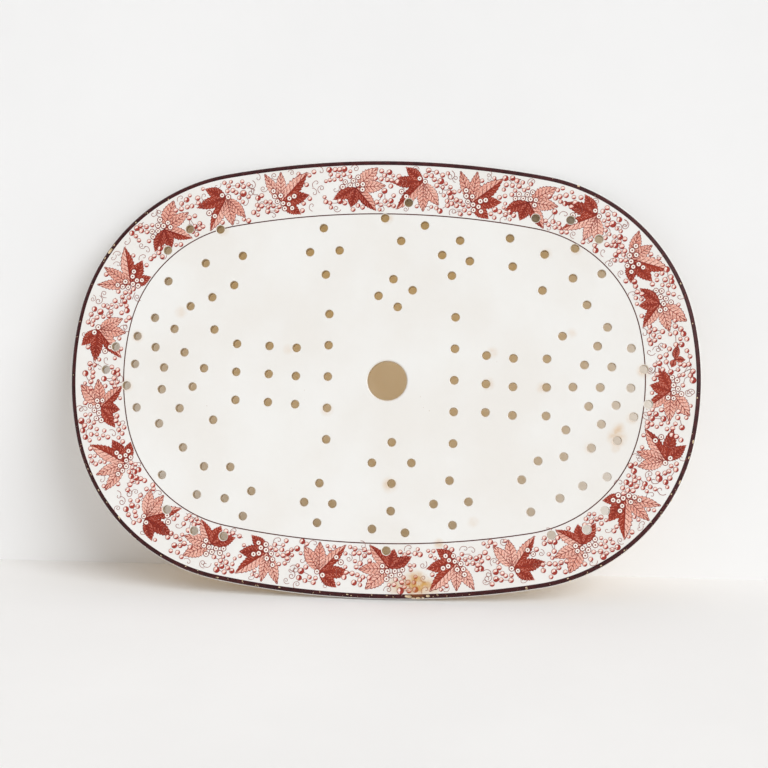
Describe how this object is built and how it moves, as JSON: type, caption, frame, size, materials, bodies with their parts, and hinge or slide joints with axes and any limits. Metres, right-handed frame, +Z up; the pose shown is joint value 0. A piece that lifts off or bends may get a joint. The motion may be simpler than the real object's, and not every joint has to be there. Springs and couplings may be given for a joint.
{
  "type": "ceramic drainer plate",
  "caption": "Flat oval glazed ceramic drainer with a rounded edge, a central finger hole and punched drain holes, laid in a platter or basin to strain food.",
  "frame": {"origin": "on the flat underside, at the middle of the oval outline", "axes": "+Z up out of the decorated face, +X along the long axis of the oval, +Y along its short axis"},
  "size_m": [0.402, 0.2796, 0.007],
  "materials": {
    "glazed_earthenware": "cream glaze over a warm red and pink leaf and berry border, with a dark brown line at the edge"
  },
  "bodies": {
    "root": {"drainer_plate": "glazed_earthenware"}
  },
  "joints": []
}
